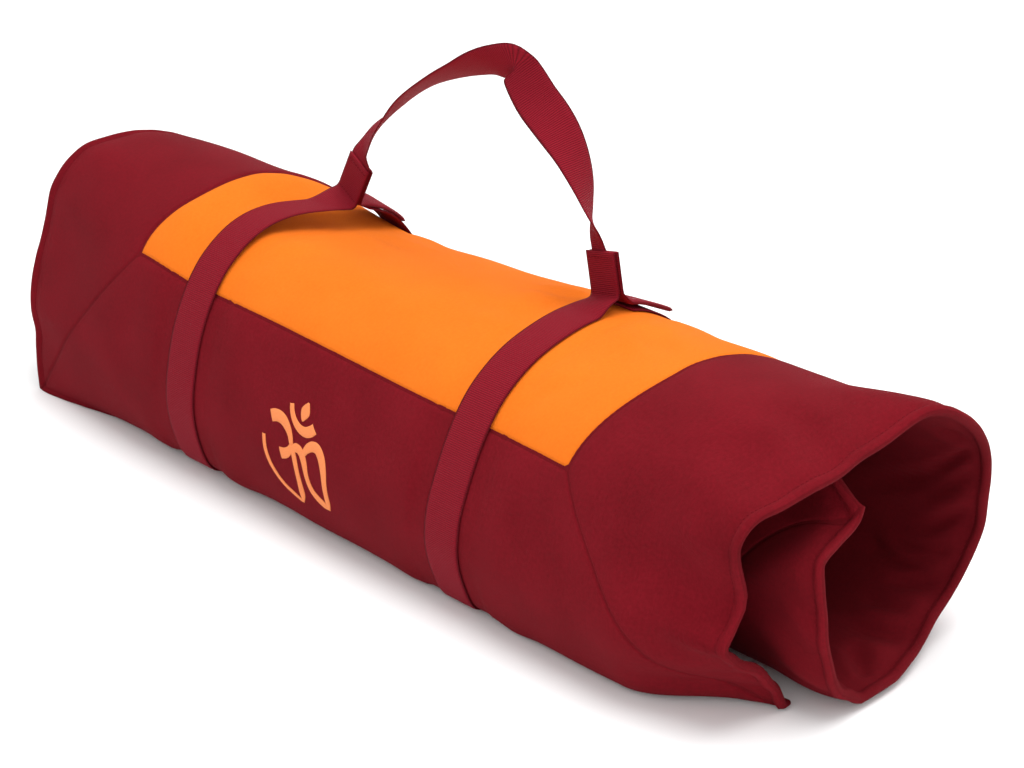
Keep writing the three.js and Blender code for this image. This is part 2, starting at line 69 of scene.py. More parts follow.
# Sections of the roll at six stations along it, as [y, z] of the outer face
STATIONS = [(-440, "far"), (-275, "shoulder"), (-190, "left"), (150, "middle"), (330, "right"), (440, "near")]
SECTION = {
    "far": [(-142, -5), (-141, 29), (-138, 60), (-137, 93), (-133, 114), (-124, 135), (-113, 156),
            (-104, 179), (-95, 206), (-75, 229), (-57, 241), (-16, 245), (29, 234), (72, 211), (109, 178),
            (132, 134), (131, 90), (113, 49), (81, 17), (40, -1), (-4, -5), (-41, 9), (-64, 37), (-68, 71),
            (-64, 104), (-48, 135), (-30, 152), (-4, 168), (24, 176), (54, 174), (85, 158)],
    "shoulder": [(-119, -10), (-139, 16), (-150, 46), (-152, 78), (-149, 98), (-145, 119), (-139, 142),
                 (-130, 168), (-119, 192), (-102, 214), (-67, 234), (-23, 243), (23, 236), (66, 216),
                 (106, 185), (133, 144), (140, 100), (128, 57), (100, 22), (60, 1), (16, -6), (-23, 2),
                 (-54, 22), (-65, 53), (-65, 87), (-56, 121), (-40, 140), (-17, 159), (10, 172), (40, 175),
                 (73, 164)],
    "left": [(-112, -9), (-138, 11), (-150, 41), (-155, 72), (-154, 93), (-150, 114), (-144, 137),
             (-134, 162), (-120, 185), (-100, 205), (-64, 221), (-20, 215), (26, 204), (72, 190),
             (117, 169), (144, 128), (145, 83), (127, 42), (95, 11), (53, -4), (8, -5), (-30, 7), (-57, 31),
             (-66, 64), (-63, 97), (-48, 129), (-31, 147), (-6, 164), (22, 172), (52, 171), (84, 158)],
    "middle": [(-103, -6), (-134, 3), (-149, 32), (-157, 62), (-157, 83), (-153, 104), (-144, 126),
               (-132, 150), (-117, 173), (-98, 193), (-63, 213), (-19, 222), (28, 221), (75, 210),
               (116, 184), (143, 142), (148, 98), (135, 55), (109, 19), (68, 0), (24, -6), (-15, 1),
               (-47, 20), (-63, 50), (-66, 83), (-56, 117), (-42, 137), (-19, 157), (8, 169), (38, 173),
               (71, 164)],
    "right": [(-103, -6), (-135, 2), (-150, 30), (-160, 60), (-160, 81), (-155, 101), (-147, 124),
              (-138, 150), (-126, 174), (-110, 196), (-76, 218), (-33, 230), (14, 231), (61, 219),
              (105, 195), (139, 165), (152, 122), (149, 78), (128, 38), (93, 10), (51, -4), (11, -7),
              (-25, 2), (-52, 22), (-66, 53), (-67, 88), (-61, 112), (-44, 137), (-22, 156), (4, 171),
              (38, 180)],
    "near": [(-70, -9), (-86, 20), (-103, 44), (-129, 61), (-143, 83), (-129, 105), (-119, 116),
             (-124, 138), (-131, 167), (-112, 195), (-71, 205), (-26, 213), (17, 220), (66, 235),
             (114, 209), (145, 167), (149, 118), (141, 73), (115, 32), (72, 11), (27, 1), (-15, -3),
             (-51, 17), (-71, 48), (-75, 86), (-75, 117), (-69, 147), (-36, 156), (-15, 163), (-16, 180),
             (-34, 207)],
}


def smooth(t):
    t = np.clip(t, 0.0, 1.0)
    return t * t * (3 - 2 * t)


def skew(s):
    """How far a length of the mat is pushed along the roll, which was wound askew."""
    k = np.clip(np.searchsorted(SKEW_AT, s, side="left"), 1, len(SKEW_AT) - 1)
    at, push = np.array(SKEW_AT, float), np.array(SKEW_PUSH, float)
    t = smooth((s - at[k - 1]) / (at[k] - at[k - 1]))
    return push[k - 1] + (push[k] - push[k - 1]) * t


def curve_through(points, steps):
    """A centripetal curve through the points, the CAD's own kind."""
    p = np.vstack([2 * points[0] - points[1], points, 2 * points[-1] - points[-2]])
    out = []
    for k in range(1, len(p) - 2):
        a, b, c, d = p[k - 1:k + 3]
        da, db, dc = (np.sqrt(np.linalg.norm(v)) for v in (b - a, c - b, d - c))
        m1 = ((b - a) / da - (c - a) / (da + db) + (c - b) / db) * db
        m2 = ((c - b) / db - (d - b) / (db + dc) + (d - c) / dc) * db
        w = np.linspace(0, 1, steps, endpoint=False)[:, None]
        out.append(b + m1 * w + (3 * (c - b) - 2 * m1 - m2) * w ** 2 + (2 * (b - c) + m1 + m2) * w ** 3)
    out.append(points[-1][None, :])
    return np.vstack(out)


def softened(line, passes, keep_ends=2):
    line = line.copy()
    for _ in range(passes):
        inner = (line[:-2] + 2 * line[1:-1] + line[2:]) / 4
        line[keep_ends:-keep_ends] = inner[keep_ends - 1:len(inner) - keep_ends + 1]
    return line


# The roll's outer face as a table over x and s
TABLE_X = np.arange(-HALF, HALF + 0.1, 4.0)
TABLE_S = np.arange(-8.0, MAT_LENGTH + 8.1, 2.0)


def section_table():
    names = [name for _, name in STATIONS]
    at = np.array([x for x, _ in STATIONS], float)
    rows = {name: np.array(SECTION[name], float) for name in names}
    table = np.zeros((len(TABLE_X), len(TABLE_S), 2))
    for i, x in enumerate(TABLE_X):
        k = int(np.clip(np.searchsorted(at, x, side="left"), 1, len(at) - 1))
        t = smooth((x - at[k - 1]) / (at[k] - at[k - 1]))
        line = softened(curve_through(rows[names[k - 1]] * (1 - t) + rows[names[k]] * t, 24), 26)
        length = np.concatenate([[0], np.cumsum(np.linalg.norm(np.diff(line, axis=0), axis=1))])
        for axis in (0, 1):
            table[i, :, axis] = np.interp(TABLE_S, length, line[:, axis])
        for end, (p, q) in ((0, (0, 1)), (-1, (-2, -1))):
            slope = (line[q] - line[p]) / (length[q] - length[p])
            past = TABLE_S < 0 if end == 0 else TABLE_S > length[-1]
            table[i, past] = line[end] + (TABLE_S[past] - length[end])[:, None] * slope
    return table


TABLE = section_table()


def look_up(table, x, s):
    fx = np.clip((x - TABLE_X[0]) / 4.0, 0, len(TABLE_X) - 1.001)
    fs = np.clip((s - TABLE_S[0]) / 2.0, 0, len(TABLE_S) - 1.001)
    i, j = fx.astype(int), fs.astype(int)
    u, v = (fx - i)[..., None], (fs - j)[..., None]
    return (table[i, j] * (1 - u) * (1 - v) + table[i + 1, j] * u * (1 - v)
            + table[i, j + 1] * (1 - u) * v + table[i + 1, j + 1] * u * v)


def half_thickness(edge):
    """Half of the mat's thickness: a piped rim, its stitched groove, then the padding's rise."""
    at = [0, 0.25, 0.8, 1.8, 3.2, 4.8, 6.2, 7.8, 9.4, 11, 15, 22, 32, 45, 62, 80]
    half = [0, 1.25, 2.4, 3.6, 4.4, 4.75, 4.3, 3.1, 2.4, 2.9, 4.6, 6.2, 7.3, 8.0, 8.35, 8.5]
    return np.interp(edge, at, half)


def seam_groove(edge_x, edge_s):
    """How deep the cloth sinks at the seams round the centre panel and at the mitres."""
    depth_x, depth_s = edge_x / END_BORDER, edge_s / HEM_BORDER
    to_panel = np.abs(np.minimum(depth_x, depth_s) - 1) * END_BORDER
    to_mitre = np.where(np.minimum(depth_x, depth_s) < 1, np.abs(depth_x - depth_s) * 133, 999)
    near = np.minimum(to_panel, to_mitre)
    return 1.2 * np.exp(-(near / 1.8) ** 2) + 0.6 * np.exp(-(near / 9.0) ** 2)


# Listed creases: where on the flat mat, from (x, s) to (x, s), depth and width
CREASES = [
    ((440, 28), (330, 70), 3.0, 9), ((438, 95), (350, 118), 3.5, 12), ((440, 150), (372, 128), 2.4, 10),
    ((440, 196), (390, 250), 2.2, 14), ((440, 262), (340, 300), 2.0, 16), ((440, 330), (352, 342), 2.4, 14),
    ((440, 585), (330, 600), 2.2, 12), ((440, 640), (300, 618), 1.6, 14), ((440, 700), (330, 735), 2.6, 13),
    ((440, 770), (352, 742), 2.0, 12), ((440, 845), (360, 870), 2.6, 11), ((440, 900), (330, 930), 2.0, 13),
    ((436, 960), (350, 905), 2.4, 12), ((402, 1040), (352, 950), 1.8, 12),
    ((-440, 60), (-380, 92), 1.4, 12), ((-440, 128), (-360, 120), 1.2, 16), ((-440, 215), (-372, 240), 1.4, 14),
    ((-440, 300), (-352, 286), 1.2, 16), ((-212, 30), (-240, 78), 1.0, 10), ((128, 24), (100, 70), 1.1, 10),
    ((182, 28), (226, 66), 1.3, 11), ((130, 240), (70, 300), 1.8, 11), ((178, 232), (228, 296), 2.0, 11),
    ((-208, 262), (-262, 300), 1.8, 12), ((-158, 250), (-96, 310), 1.4, 13),
    ((118, 398), (40, 372), 2.2, 9), ((120, 420), (52, 436), 1.8, 10), ((180, 380), (244, 350), 1.8, 10),
    ((-150, 392), (-84, 380), 1.8, 10), ((110, 330), (30, 322), 1.4, 11),
]


def waves(x, s):
    """Soft unevenness of hand-rolled padding, the puckers along the seams, and the creases."""
    lump = (0.55 * np.sin(x / 31.0 + 1.3) * np.sin(s / 43.0 + 0.4)
            + 0.45 * np.sin(x / 17.0 + s / 27.0 + 2.1) + 0.35 * np.sin(x / 53.0 - s / 19.0))
    edge_x, edge_s = HALF - np.abs(x), np.minimum(s, MAT_LENGTH - s)
    to_seam_s = np.abs(edge_s - HEM_BORDER)
    to_seam_x = np.abs(edge_x - END_BORDER)
    inside_x, inside_s = edge_x > END_BORDER - 4, edge_s > HEM_BORDER - 4
    pucker = (np.exp(-(to_seam_s / 9) ** 2) * inside_x * np.sin(x / 5.6 + 2 * np.sin(x / 29))
              + np.exp(-(to_seam_x / 9) ** 2) * inside_s * np.sin(s / 6.0 + 2 * np.sin(s / 31)))
    rim = np.minimum(edge_x, edge_s)
    drawn = np.exp(-((rim - 9.5) / 8) ** 2) * np.sin((x + s) / 3.9 + 1.5 * np.sin((x - s) / 37))
    total = lump * smooth(rim / 40) + 0.12 * pucker + 0.16 * drawn
    for (x0, s0), (x1, s1), depth, width in CREASES:
        run = np.hypot(x1 - x0, s1 - s0)
        along = ((x - x0) * (x1 - x0) + (s - s0) * (s1 - s0)) / run ** 2
        away = ((x - x0) * (s1 - s0) - (s - s0) * (x1 - x0)) / run
        fade = smooth((along + 0.05) / 0.2) * smooth((1.0 - along) / 0.5)
        profile = -np.exp(-(away / width) ** 2) + 0.55 * np.exp(-((np.abs(away) - 1.9 * width) / width) ** 2)
        total = total + depth * fade * profile
    return total


# Creases of the back cloth alone, seen inside the near end: from (x, s) to (x, s), depth, width
INSIDE_CREASES = [
    ((440, 524), (316, 600), 6.0, 7), ((348, 650), (414, 655), 5.0, 6), ((368, 630), (440, 644), 5.0, 6),
    ((380, 700), (426, 712), 4.0, 7), ((396, 766), (440, 818), 6.0, 7), ((404, 490), (440, 530), 4.0, 6),
    ((440, 560), (372, 575), 4.0, 8), ((440, 592), (388, 612), 4.5, 6), ((440, 678), (384, 672), 5.0, 7),
    ((440, 742), (372, 734), 4.0, 8), ((440, 430), (372, 452), 3.0, 9), ((440, 860), (384, 852), 3.5, 8),
]


def hollows(x, s):
    """How far the back cloth sinks towards the top cloth in its own creases."""
    deep = np.zeros_like(x)
    for (x0, s0), (x1, s1), depth, width in INSIDE_CREASES:
        run = np.hypot(x1 - x0, s1 - s0)
        along = ((x - x0) * (x1 - x0) + (s - s0) * (s1 - s0)) / run ** 2
        away = ((x - x0) * (s1 - s0) - (s - s0) * (x1 - x0)) / run
        fade = smooth((along + 0.15) / 0.3) * smooth((1.1 - along) / 0.5)
        swell = np.exp(-((np.abs(away) - 2.0 * width) / width) ** 2)
        deep += depth * fade * (np.exp(-(away / width) ** 2) - 0.35 * swell)
    return np.clip(deep, -2.5, 8.5) * smooth((edge_of(x, s) - 10) / 14)


def strap_pull(world_x):
    pull = np.zeros_like(world_x)
    bulge = np.zeros_like(world_x)
    for strap in STRAPS.values():
        away = np.abs(world_x - strap["x"])
        pull = np.maximum(pull, 1 - smooth((away - 32) / 12))
        bulge += np.exp(-((away - 60) / 16) ** 2)
    return pull, bulge


def mat_point(x, s, offset, lively=1.0):
    """A point of the rolled mat, in metres, from its place on the flat mat and its height
    over the middle of the padding, outward positive."""
    x, s = np.asarray(x, float), np.asarray(s, float)
    at = look_up(TABLE, x, s)
    tangent = look_up(TABLE, x, s + 6) - look_up(TABLE, x, s - 6)
    size = np.linalg.norm(tangent, axis=-1)
    normal_y, normal_z = -tangent[..., 1] / size, tangent[..., 0] / size
    world_x = x + skew(s)
    pull, bulge = strap_pull(world_x)
    outside = 1 - smooth((s - 830) / 40)
    pull = pull * outside
    free = 1 - pull
    out = offset - HALF_PAD - 1.4 * pull + lively * free * (waves(x, s) + 1.3 * bulge * outside)
    down = np.maximum(0, -normal_z)
    floor = FLOOR_GAP + (WEB + 0.6 - FLOOR_GAP) * pull
    lying = np.maximum(at[..., 1], floor - 1.4 * pull * down)
    z = np.maximum(lying + normal_z * out, floor + (HALF_PAD - offset) * down)
    return np.stack([world_x - CENTRE_X, at[..., 0] + normal_y * out - CENTRE_Y, z], -1) * MM


def deselect():
    if bpy.context.object and bpy.context.object.mode != "OBJECT":
        bpy.ops.object.mode_set(mode="OBJECT")
    bpy.ops.object.select_all(action="DESELECT")


def use(piece):
    deselect()
    piece.select_set(True)
    bpy.context.view_layer.objects.active = piece


def in_edit(piece, *steps):
    """Runs edit-mode operators on everything of a piece."""
    use(piece)
    bpy.ops.object.mode_set(mode="EDIT")
    bpy.ops.mesh.select_all(action="SELECT")
    for step in steps:
        step()
    bpy.ops.object.mode_set(mode="OBJECT")


def cloth_grid(name, across, along, place, flat):
    """A grid primitive whose corners are laid where place(i, j) says, with flat(i, j) as
    its UV map in metres, so that a weave follows the cloth."""
    deselect()
    bpy.ops.mesh.primitive_grid_add(x_subdivisions=across, y_subdivisions=along, size=2)
    piece = bpy.context.active_object
    piece.name = piece.data.name = name
    mesh = piece.data
    co = np.zeros(len(mesh.vertices) * 3)
    mesh.vertices.foreach_get("co", co)
    i = np.rint((co[0::3] + 1) / 2 * across).astype(int)
    j = np.rint((co[1::3] + 1) / 2 * along).astype(int)
    mesh.vertices.foreach_set("co", place(i, j).astype(np.float32).ravel())
    uv = mesh.uv_layers[0] if mesh.uv_layers else mesh.uv_layers.new()
    uv.name = "UVMap"
    corner = np.zeros(len(mesh.loops), int)
    mesh.loops.foreach_get("vertex_index", corner)
    uv.data.foreach_set("uv", flat(i, j)[corner].astype(np.float32).ravel())
    mesh.update()
    return piece


def apply_modifier(piece, kind, **values):
    use(piece)
    modifier = piece.modifiers.new(kind.title(), kind)
    for key, value in values.items():
        setattr(modifier, key, value)
    bpy.ops.object.modifier_apply(modifier=modifier.name)


def finish_piece(piece, material, *nodes, slot):
    use(piece)
    bpy.ops.object.shade_smooth()
    piece.data.materials.clear()
    piece.data.materials.append(material)
    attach(piece, "root")
    if nodes:
        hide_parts(*nodes)
    return piece


def graded(stops, steps):
    """Places from the first stop to the last, with so many even steps in each stretch."""
    out = [stops[0]]
    for (a, b), n in zip(zip(stops, stops[1:]), steps):
        out += [a + (b - a) * k / n for k in range(1, n + 1)]
    return np.array(out)


RIM_STEPS = [0, 0.25, 0.8, 1.8, 3.2, 4.8, 6.2, 7.8, 9.4, 11, 15, 22]
MAT_X = np.concatenate([
    [-HALF + d for d in RIM_STEPS], graded([-HALF + 22, -120, 240, HALF - 22], [44, 50, 52])[1:],
    [HALF - d for d in RIM_STEPS[-2::-1]]])
MAT_S = np.concatenate([
    RIM_STEPS, graded([22, MAT_LENGTH - 22], [156])[1:], [MAT_LENGTH - d for d in RIM_STEPS[-2::-1]]])


def edge_of(x, s):
    return np.minimum(HALF - np.abs(x), np.minimum(s, MAT_LENGTH - s))


def padding():
    """The quilted body of the mat with its back cloth: two faces that meet in the rim."""
    sides = []
    for side in (1, -1):
        def place(i, j, side=side):
            x, s = MAT_X[i], MAT_S[j]
            edge = edge_of(x, s)
            half = half_thickness(edge)
            outer = half - (CLOTH + 0.5) * smooth(edge / 2.5)
            return mat_point(x, s, outer if side > 0 else hollows(x, s) - half)

        def flat(i, j):
            return np.stack([MAT_X[i], MAT_S[j]], -1) * MM
        sides.append(cloth_grid("mat_padding", len(MAT_X) - 1, len(MAT_S) - 1, place, flat))
    back = sides[1]
    in_edit(back, bpy.ops.mesh.flip_normals)
    use(back)
    sides[0].select_set(True)
    bpy.context.view_layer.objects.active = sides[0]
    bpy.ops.object.join()
    body = sides[0]
    in_edit(body, lambda: bpy.ops.mesh.remove_doubles(threshold=0.00002))
    return body


BORDERS = ("border_front", "border_inner", "border_left", "border_right")


def top_cloth(piece):
    """One piece of the top cloth, cut to its own shape and sunk a little at its seams."""
    rim = 0.4
    gap = 0.15
    if piece == "centre_panel":
        across, along = 134, 158
        x_at = np.linspace(-HALF + END_BORDER + gap, HALF - END_BORDER - gap, across + 1)
        s_at = np.linspace(HEM_BORDER + gap, MAT_LENGTH - HEM_BORDER - gap, along + 1)

        def spot(i, j):
            return x_at[i], s_at[j]
    else:
        depth = np.concatenate([[rim, 1.0, 1.9, 3.2, 4.8, 6.2, 7.8, 9.4, 11, 15, 22],
                                np.linspace(26, END_BORDER - gap, 36)])
        if piece in ("border_front", "border_inner"):
            across, along = 200, len(depth) - 1
            u = np.linspace(-1, 1, across + 1)

            def spot(i, j):
                d = depth[j]
                scale = np.where(d < 22, 1.0, 1 + (HEM_BORDER / END_BORDER - 1) * smooth((d - 22) / 60))
                s = d * scale
                reach = HALF - s * END_BORDER / HEM_BORDER - gap
                s = s if piece == "border_front" else MAT_LENGTH - s
                return u[i] * reach, s
        else:
            across, along = len(depth) - 1, 236
            v = np.linspace(0, 1, along + 1)

            def spot(i, j):
                d = depth[i]
                low = d * HEM_BORDER / END_BORDER + gap
                s = low + (MAT_LENGTH - 2 * low) * v[j]
                return (HALF - d if piece == "border_right" else -HALF + d), s

    def place(i, j):
        x, s = spot(i, j)
        sunk = seam_groove(HALF - np.abs(x), np.minimum(s, MAT_LENGTH - s))
        return mat_point(x, s, half_thickness(edge_of(x, s)) - sunk)

    def flat(i, j):
        return np.stack(spot(i, j), -1) * MM
    cloth = cloth_grid(piece + "_cloth", across, along, place, flat)
    if piece in ("border_inner", "border_right"):
        in_edit(cloth, bpy.ops.mesh.flip_normals)
    apply_modifier(cloth, "SOLIDIFY", thickness=CLOTH * MM, offset=-1.0, use_even_offset=False)
    return cloth


# Webbing


def cross_section(width, thick, across=12):
    """Half widths and heights round a strip of webbing with soft woven edges."""
    side = np.linspace(-1, 1, across + 1)
    height = thick / 2 * np.clip(1 - np.abs(side) ** 14, 0, 1) ** 0.5
    top = np.stack([side * width / 2, height], -1)
    low = np.stack([side[::-1] * width / 2, -height[::-1]], -1)
    return np.vstack([top[:-1], low[:-1]])


def webbing(name, middle, width_way, face_way, thick, width=WEB_WIDTH, cup=0.0):
    """A strip of webbing along a line of middles, as a closed tube of one grid. The UV map
    runs across it and along it in metres. Thick may change along the strip."""
    ring = cross_section(width, 1.0)
    count = len(ring)
    thick = np.broadcast_to(np.asarray(thick, float), (len(middle),))
    run = np.concatenate([[0], np.cumsum(np.linalg.norm(np.diff(middle, axis=0), axis=1))])

    def place(i, j):
        side, height = ring[i % count, 0], ring[i % count, 1] * thick[j]
        bow = cup * (1 - (2 * side / width) ** 2)
        return (middle[j] + width_way[j] * side[:, None] + face_way[j] * (height + bow)[:, None]) * MM

    def flat(i, j):
        side = ring[i % count, 0] + width / 2
        return np.stack([side, run[j]], -1) * MM
    strip = cloth_grid(name, count, len(middle) - 1, place, flat)
    in_edit(strip, lambda: bpy.ops.mesh.remove_doubles(threshold=0.00001))
    use(strip)
    bpy.ops.object.mode_set(mode="EDIT")
    bpy.ops.mesh.select_all(action="DESELECT")
    bpy.ops.mesh.select_mode(type="EDGE")
    bpy.ops.mesh.select_non_manifold()
    bpy.ops.mesh.fill_holes(sides=count + 2)
    bpy.ops.mesh.select_mode(type="VERT")
    bpy.ops.mesh.select_all(action="SELECT")
    bpy.ops.mesh.normals_make_consistent(inside=False)
    bpy.ops.object.mode_set(mode="OBJECT")
    return strip


def hull(points):
    """The convex outline of points in the Y-Z plane, anticlockwise."""
    points = sorted(map(tuple, points))

    def half(run):
        out = []
        for p in run:
            while len(out) > 1 and ((out[-1][0] - out[-2][0]) * (p[1] - out[-2][1])
                                    - (out[-1][1] - out[-2][1]) * (p[0] - out[-2][0])) <= 0:
                out.pop()
            out.append(p)
        return out[:-1]
    return np.array(half(points) + half(points[::-1]))


def resampled(line, step):
    run = np.concatenate([[0], np.cumsum(np.linalg.norm(np.diff(line, axis=0), axis=1))])
    at = np.linspace(0, run[-1], max(2, int(run[-1] / step)) + 1)
    return np.stack([np.interp(at, run, line[:, k]) for k in range(line.shape[1])], -1)


def round_the_roll(strap):
    """The middle line of a strap round the roll, from the seat over the front, under the
    roll and up the back to the seat again, in Y-Z."""
    x_flat, s_flat = np.meshgrid(np.linspace(-32, 32, 9), np.arange(0, 900, 5.0), indexing="ij")
    x = strap["x"] + x_flat - skew(s_flat)
    skin = mat_point(x, s_flat, half_thickness(edge_of(x, s_flat)))[..., 1:] / MM
    outline = hull(skin.reshape(-1, 2))
    outline = resampled(np.vstack([outline, outline[:1]]), 1.0)[:-1]
    low = outline[:, 1].min()
    centre = np.array([0.0, 110.0])
    away = outline - centre
    normal = away / np.linalg.norm(away, axis=1)[:, None]
    line = outline + normal * (WEB / 2 + 0.35)
    line[:, 1] = np.maximum(line[:, 1], WEB / 2 + 0.05)
    angle = np.degrees(np.arctan2(line[:, 1] - centre[1], line[:, 0] - centre[0]))
    order = np.argsort(angle)
    return line[order], angle[order], low


def top_of(line, y):
    """Height of a strap's line on top of the roll at a given y."""
    upper = line[line[:, 1] > 110]
    upper = upper[np.argsort(upper[:, 0])]
    return float(np.interp(y, upper[:, 0], upper[:, 1]))


def seat_weight(y):
    """How far the handle's pull reaches: all of it at the seat, none further down the roll."""
    return (1 - smooth((KEEPER_Y - 4 - y) / 30)) * (1 - smooth((y - KEEPER_Y - 5) / 9))


def fillet(a, corner, b, radius, steps=6):
    """Points round a corner between two directions, so that webbing folds softly."""
    u = (a - corner) / np.linalg.norm(a - corner)
    v = (b - corner) / np.linalg.norm(b - corner)
    t = np.linspace(0, 1, steps + 1)[:, None]
    p, q = corner + u * radius, corner + v * radius
    return p * (1 - t) ** 2 + 2 * corner * t * (1 - t) + q * t ** 2


def posed(strap, line, fold):
    """Lifts a Y-Z line of webbing into the room: its middles, width and face directions."""
    weight = np.where(line[:, 1] > 110, seat_weight(line[:, 0]), 0.0)
    rise = np.maximum(0, line[:, 1] - fold) * weight
    slid = np.where(line[:, 1] > 110, 1 - smooth((np.abs(line[:, 0] - KEEPER_Y) - 8) / 90), 0.0)
    middle = np.stack([
        strap["x"] - CENTRE_X + strap["slide"] * slid + strap["lean"] * rise,
        line[:, 0],
        line[:, 1] + strap["lift"] * weight,
    ], -1)
    width = np.stack([np.ones_like(rise), strap["turn"] * weight, strap["tilt"] * weight], -1)
    return middle, width, faces_of(middle, width)


def faces_of(middle, width):
    face = np.cross(np.gradient(middle, axis=0), width)
    return face / np.linalg.norm(face, axis=1)[:, None]


def strap_fold(strap):
    """Height of the crease where a strap's end turns up."""
    line, _, _ = round_the_roll(strap)
    return top_of(line, KEEPER_Y) + 1.15


def roll_strap(side):
    strap = STRAPS[side]
    line, angle, _ = round_the_roll(strap)
    fold = strap_fold(strap)
    seat_y = KEEPER_Y - WEB / 2
    end_y = KEEPER_Y + 13.0
    start = math.degrees(math.atan2(fold - 110, seat_y))
    end = math.degrees(math.atan2(top_of(line, end_y) - 110, end_y))
    sweep = (angle - start) % 360
    order = np.argsort(sweep)
    keep = order[(sweep[order] > 3.0) & (sweep[order] < (end - start) % 360)]
    roll = line[keep]
    corner = np.array([seat_y, fold])
    top = np.array([seat_y, fold + strap["height"]])
    bend = fillet(top, corner, roll[0], 3.0)
    path = resampled(np.vstack([top, bend, roll]), 2.6)
    path = softened(path, 2)
    middle, width, face = posed(strap, path, fold)
    return webbing(f"roll_strap_{side}_webbing", middle, width, face, WEB)


def closure_tab(side):
    """The doubled tab on the strap's back end: turned up behind the handle, and lying back."""
    strap = STRAPS[side]
    line, _, _ = round_the_roll(strap)
    fold = strap_fold(strap)
    front = KEEPER_Y + WEB + 2 * SEAT_GAP
    seat_y = front + WEB / 2
    over = WEB / 2 + 2.3
    rest = np.array([[y, top_of(line, y) + over] for y in np.arange(front + 12, front + 27.1, 3.0)])
    slope = (rest[-1] - rest[-2]) / 3.0
    tip = rest[-1] + slope * np.arange(3, 33.1, 3.0)[:, None]
    tip[:, 1] -= (0.9 if side == "left" else 0.5) * (tip[:, 1] - over - np.array([top_of(line, y) for y in tip[:, 0]]))
    corner = np.array([seat_y, fold + 0.8])
    top = np.array([seat_y, fold + strap["height"] - 1])
    bend = fillet(top, corner, rest[0], 3.5)
    path = softened(resampled(np.vstack([top, bend, rest, tip]), 2.0), 3)
    middle, width, face = posed(strap, path, fold)
    tail = np.where(path[:, 1] < fold + 12, smooth((path[:, 0] - KEEPER_Y - 5) / 9), 0.0)
    middle[:, 2] += abs(strap["tail"]) * WEB_WIDTH / 2 * tail
    width[:, 2] += strap["tail"] * tail
    return webbing(f"closure_tab_{side}_webbing", middle, width, faces_of(middle, width), WEB + 1.9 * tail)


# Rows down the handle: along the roll, up, and how far it has turned about its own line
HANDLE = [
    (-147, 280, -131), (-138, 293, -141), (-127, 306, -154),
    (-114, 319, -164), (-101, 333, -172), (-87, 346, -179), (-71, 358, -185), (-53, 369, -193),
    (-35, 379, -202), (-17, 388, -211), (1, 397, -224), (16, 402, -238), (30, 406, -246), (41, 408, -257),
    (46, 404, -284), (56, 393, -298), (67, 381, -307), (81, 370, -321), (95, 357, -338),
    (107, 343, -355), (117, 327, -369), (124, 312, -382), (128, 300, -393), (132, 288, -407),
    (136, 276, -424),
]


WIDTH_SWAY = 12.0


def carry_handle():
    """Webbing from seat to seat in an arch, turned about its own line as the table says."""
    seat_y = KEEPER_Y + SEAT_GAP + WEB / 2

    def seat(side, height, aside):
        strap = STRAPS[side]
        across = np.array([1.0, strap["turn"], strap["tilt"]])
        place = np.array([strap["x"] + strap["slide"] - CENTRE_X + strap["lean"] * height, seat_y,
                          strap_fold(strap) + strap["lift"] + height]) + across * aside
        width = across / np.linalg.norm(across) * (1 if side == "left" else -1)
        return [*place, *width * WIDTH_SWAY]
    rows = np.array(HANDLE, float)
    along = np.gradient(rows[:, :2], axis=0)
    along /= np.linalg.norm(along, axis=1)[:, None]
    roll = np.radians(rows[:, 2])
    free = np.stack([
        rows[:, 0] - CENTRE_X, np.full(len(rows), seat_y), rows[:, 1],
        -along[:, 1] * np.sin(roll) * WIDTH_SWAY, np.cos(roll) * WIDTH_SWAY, along[:, 0] * np.sin(roll) * WIDTH_SWAY,
    ], -1)
    ends = {}
    for side, aside in (("left", 0.0), ("right", -4.0)):
        high = STRAPS[side]["height"]
        ends[side] = [seat(side, 6, 0.0), seat(side, high / 2, aside * 0.4), seat(side, high + 1, aside)]
    keys = np.vstack([ends["left"], free, ends["right"][::-1]])
    line = softened(resampled(curve_through(keys, 8), 2.6), 4)
    middle, width = line[:, :3], line[:, 3:]
    tangent = np.gradient(middle, axis=0)
    tangent /= np.linalg.norm(tangent, axis=1)[:, None]
    width = width - tangent * np.sum(width * tangent, axis=1)[:, None]
    width /= np.linalg.norm(width, axis=1)[:, None]
    mouth = ends["right"][2][2]
    drawn = np.where(middle[:, 0] > 0, 1 - smooth((middle[:, 2] - mouth) / 22), 0.0)
    return webbing("carry_handle_webbing", middle, width * (1 - 0.45 * drawn)[:, None],
                   faces_of(middle, width), WEB * 0.9)


# Stitching and the embroidered sign
def on_front(x, s, lift):
    """Points on the front border's face, lifted off it by so many millimetres."""
    x, s = np.asarray(x, float), np.asarray(s, float)
    sunk = seam_groove(HALF - np.abs(x), np.minimum(s, MAT_LENGTH - s))
    return mat_point(x, s, half_thickness(edge_of(x, s)) - sunk + lift)


